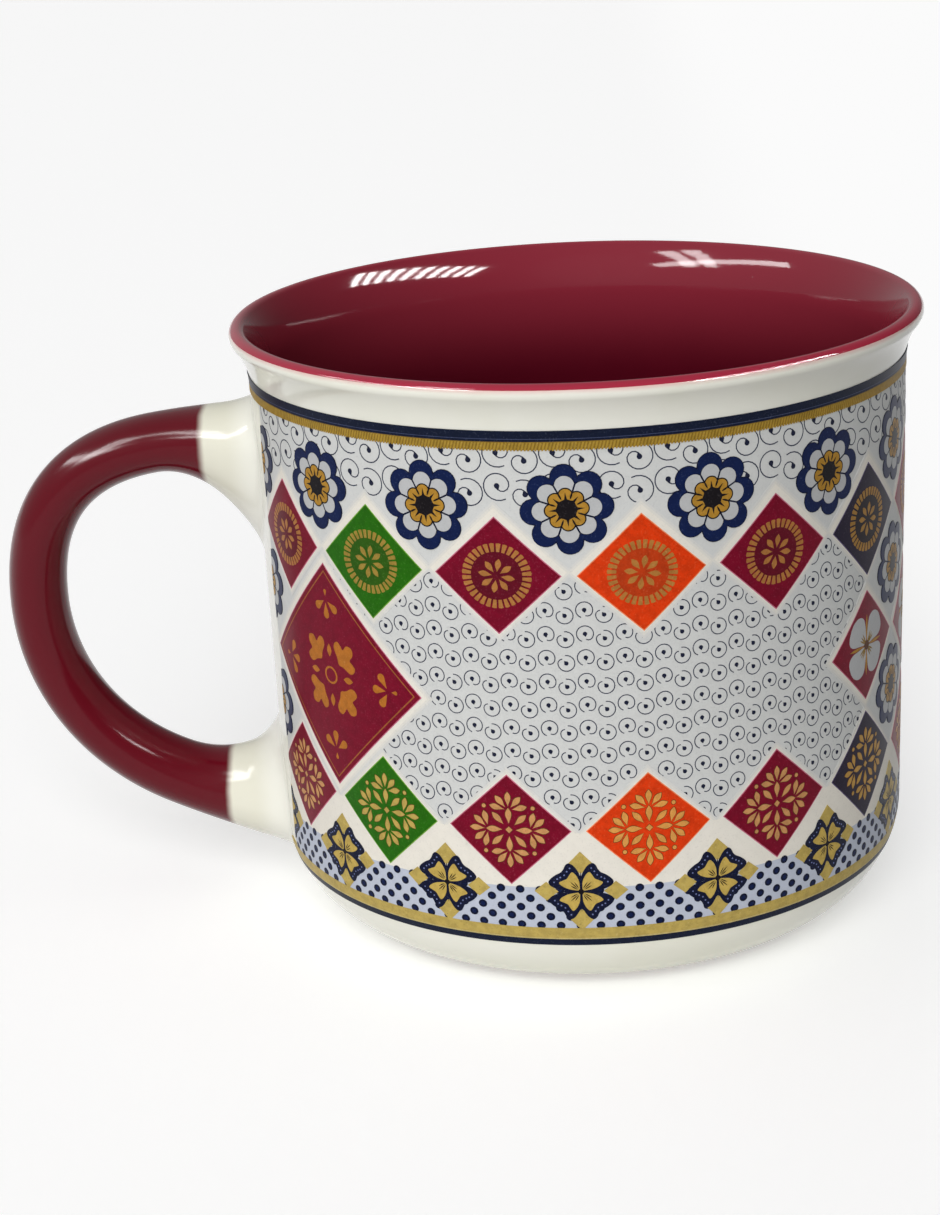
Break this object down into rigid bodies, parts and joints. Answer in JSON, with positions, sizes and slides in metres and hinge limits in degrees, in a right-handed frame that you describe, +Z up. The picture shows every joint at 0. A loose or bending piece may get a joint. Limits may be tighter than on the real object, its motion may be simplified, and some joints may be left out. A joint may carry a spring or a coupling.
{
  "type": "printed ceramic mug",
  "caption": "Nearly straight glazed mug with a flared lip, rounded bottom corner, foot ring and luted loop handle, with a printed band round the wall; holds a hot drink.",
  "frame": {"origin": "on the cup's axis, in the plane of the table that the foot ring stands on", "axes": "+Z up along the cup's axis; the handle lies along -X; +Y away from the side that the picture shows"},
  "size_m": [0.1392, 0.102, 0.0915],
  "materials": {
    "clay": "matt unglazed clay",
    "ivory_glaze": "gloss",
    "burgundy_glaze": "gloss",
    "navy_print": "fired enamel",
    "gold_print": "fired ochre enamel",
    "print_ground": "fired transfer print"
  },
  "bodies": {
    "root": {"cup_body": "clay", "handle_core": "clay", "upper_slip_joint": "clay", "lower_slip_joint": "clay", "liner_glaze": "burgundy_glaze", "wall_glaze": "ivory_glaze", "base_glaze": "ivory_glaze", "upper_root_glaze": "ivory_glaze", "grip_glaze": "burgundy_glaze", "lower_root_glaze": "ivory_glaze", "upper_navy_line": "navy_print", "upper_gold_line": "gold_print", "print_sheet": "print_ground", "lower_gold_line": "gold_print", "lower_navy_line": "navy_print"}
  },
  "joints": []
}
